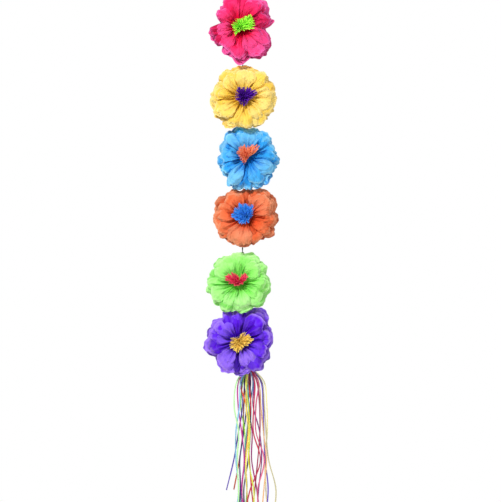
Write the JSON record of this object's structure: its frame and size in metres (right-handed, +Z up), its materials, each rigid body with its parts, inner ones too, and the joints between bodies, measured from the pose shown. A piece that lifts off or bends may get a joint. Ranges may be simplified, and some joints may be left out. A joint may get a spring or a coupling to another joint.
{
  "type": "artificial flower swag",
  "caption": "Hanging swag of large layered tissue-paper flowers with fringed centres, linked one under another on twisted wires, ending in a tail of long narrow ribbons.",
  "frame": {"origin": "the point inside the top of the hanging loop that bears on a hook", "axes": "+Z up along the swag, +X to the viewer's right, the flowers face -Y"},
  "size_m": [0.1668, 0.078, 1.2968],
  "materials": {
    "pink_tissue": "matt crinkled tissue, slightly translucent",
    "pink_fringe_paper": "matt fringed tissue",
    "yellow_tissue": "matt crinkled tissue, slightly translucent",
    "yellow_fringe_paper": "matt fringed tissue",
    "blue_tissue": "matt crinkled tissue, slightly translucent",
    "blue_fringe_paper": "matt fringed tissue",
    "orange_tissue": "matt crinkled tissue, slightly translucent",
    "orange_fringe_paper": "matt fringed tissue",
    "green_tissue": "matt crinkled tissue, slightly translucent",
    "green_fringe_paper": "matt fringed tissue",
    "purple_tissue": "matt crinkled tissue, slightly translucent",
    "purple_fringe_paper": "matt fringed tissue",
    "covered_wire": "dark green paper-covered wire, matt",
    "ribbon_pale_green": "narrow curling ribbon, satin",
    "ribbon_sky_blue_left": "narrow curling ribbon, satin",
    "ribbon_magenta_left": "narrow curling ribbon, satin",
    "ribbon_orange": "narrow curling ribbon, satin",
    "ribbon_violet_left": "narrow curling ribbon, satin",
    "ribbon_lime": "narrow curling ribbon, satin",
    "ribbon_navy_left": "narrow curling ribbon, satin",
    "ribbon_rust": "narrow curling ribbon, satin",
    "ribbon_yellow_green": "narrow curling ribbon, satin",
    "ribbon_yellow": "narrow curling ribbon, satin",
    "ribbon_teal": "narrow curling ribbon, satin",
    "ribbon_red": "narrow curling ribbon, satin",
    "ribbon_navy_middle": "narrow curling ribbon, satin",
    "ribbon_magenta_wide": "narrow curling ribbon, satin",
    "ribbon_sky_blue_right": "narrow curling ribbon, satin",
    "ribbon_lilac": "narrow curling ribbon, satin",
    "ribbon_crimson_cross": "narrow curling ribbon, satin",
    "ribbon_crimson": "narrow curling ribbon, satin",
    "ribbon_rose": "narrow curling ribbon, satin",
    "ribbon_tan": "narrow curling ribbon, satin",
    "ribbon_violet_right": "narrow curling ribbon, satin",
    "ribbon_olive": "narrow curling ribbon, satin",
    "ribbon_pale_yellow": "narrow curling ribbon, satin"
  },
  "bodies": {
    "pink_flower": {"pink_stem_wire": "covered_wire", "pink_back_petals": "pink_tissue", "pink_middle_petals": "pink_tissue", "pink_front_petals": "pink_tissue", "pink_fringe": "pink_fringe_paper"},
    "yellow_flower": {"yellow_stem_wire": "covered_wire", "yellow_back_petals": "yellow_tissue", "yellow_middle_petals": "yellow_tissue", "yellow_front_petals": "yellow_tissue", "yellow_fringe": "yellow_fringe_paper"},
    "blue_flower": {"blue_stem_wire": "covered_wire", "blue_back_petals": "blue_tissue", "blue_middle_petals": "blue_tissue", "blue_front_petals": "blue_tissue", "blue_fringe": "blue_fringe_paper"},
    "orange_flower": {"orange_stem_wire": "covered_wire", "orange_back_petals": "orange_tissue", "orange_middle_petals": "orange_tissue", "orange_front_petals": "orange_tissue", "orange_fringe": "orange_fringe_paper"},
    "green_flower": {"green_stem_wire": "covered_wire", "green_back_petals": "green_tissue", "green_middle_petals": "green_tissue", "green_front_petals": "green_tissue", "green_fringe": "green_fringe_paper"},
    "purple_flower": {"purple_stem_wire": "covered_wire", "purple_back_petals": "purple_tissue", "purple_middle_petals": "purple_tissue", "purple_front_petals": "purple_tissue", "purple_fringe": "purple_fringe_paper"},
    "link_1": {"link_wire_1": "covered_wire"},
    "link_2": {"link_wire_2": "covered_wire"},
    "link_3": {"link_wire_3": "covered_wire"},
    "link_4": {"link_wire_4": "covered_wire"},
    "link_5": {"link_wire_5": "covered_wire"},
    "link_6": {"link_wire_6": "covered_wire"},
    "ribbon_tail": {"ribbon_binding": "covered_wire", "ribbon_pale_green": "ribbon_pale_green", "ribbon_sky_blue_left": "ribbon_sky_blue_left", "ribbon_magenta_left": "ribbon_magenta_left", "ribbon_orange": "ribbon_orange", "ribbon_violet_left": "ribbon_violet_left", "ribbon_lime": "ribbon_lime", "ribbon_navy_left": "ribbon_navy_left", "ribbon_rust": "ribbon_rust", "ribbon_yellow_green": "ribbon_yellow_green", "ribbon_yellow": "ribbon_yellow", "ribbon_teal": "ribbon_teal", "ribbon_red": "ribbon_red", "ribbon_navy_middle": "ribbon_navy_middle", "ribbon_magenta_wide": "ribbon_magenta_wide", "ribbon_sky_blue_right": "ribbon_sky_blue_right", "ribbon_lilac": "ribbon_lilac", "ribbon_crimson_cross": "ribbon_crimson_cross", "ribbon_crimson": "ribbon_crimson", "ribbon_rose": "ribbon_rose", "ribbon_tan": "ribbon_tan", "ribbon_violet_right": "ribbon_violet_right", "ribbon_olive": "ribbon_olive", "ribbon_pale_yellow": "ribbon_pale_yellow"}
  },
  "joints": [
    {"name": "link_1_fore_and_aft", "type": "hinge", "parent": "pink_flower", "child": "link_1", "pos_m": [0.00078, 0, -0.16892], "axis": [1, 0, 0], "range_deg": [-12, 12]},
    {"name": "yellow_flower_sideways", "type": "hinge", "parent": "link_1", "child": "yellow_flower", "pos_m": [0.00078, 0, -0.18492], "axis": [0, 1, 0], "range_deg": [-12, 12]},
    {"name": "link_2_fore_and_aft", "type": "hinge", "parent": "yellow_flower", "child": "link_2", "pos_m": [0.00234, 0, -0.31796], "axis": [1, 0, 0], "range_deg": [-12, 12]},
    {"name": "blue_flower_sideways", "type": "hinge", "parent": "link_2", "child": "blue_flower", "pos_m": [0.00234, 0, -0.33396], "axis": [0, 1, 0], "range_deg": [-12, 12]},
    {"name": "link_3_fore_and_aft", "type": "hinge", "parent": "blue_flower", "child": "link_3", "pos_m": [0.00156, 0, -0.45476], "axis": [1, 0, 0], "range_deg": [-12, 12]},
    {"name": "orange_flower_sideways", "type": "hinge", "parent": "link_3", "child": "orange_flower", "pos_m": [0.00156, 0, -0.47076], "axis": [0, 1, 0], "range_deg": [-12, 12]},
    {"name": "link_4_fore_and_aft", "type": "hinge", "parent": "orange_flower", "child": "link_4", "pos_m": [0, 0, -0.59804], "axis": [1, 0, 0], "range_deg": [-12, 12]},
    {"name": "green_flower_sideways", "type": "hinge", "parent": "link_4", "child": "green_flower", "pos_m": [0, 0, -0.61404], "axis": [0, 1, 0], "range_deg": [-12, 12]},
    {"name": "link_5_fore_and_aft", "type": "hinge", "parent": "green_flower", "child": "link_5", "pos_m": [0.00312, 0, -0.74132], "axis": [1, 0, 0], "range_deg": [-12, 12]},
    {"name": "purple_flower_sideways", "type": "hinge", "parent": "link_5", "child": "purple_flower", "pos_m": [0.00312, 0, -0.75732], "axis": [0, 1, 0], "range_deg": [-12, 12]},
    {"name": "link_6_fore_and_aft", "type": "hinge", "parent": "purple_flower", "child": "link_6", "pos_m": [0.014, 0, -0.842], "axis": [1, 0, 0], "range_deg": [-3, 20]},
    {"name": "ribbon_tail_sideways", "type": "hinge", "parent": "link_6", "child": "ribbon_tail", "pos_m": [0.014, 0, -0.858], "axis": [0, 1, 0], "range_deg": [-25, 25]}
  ]
}
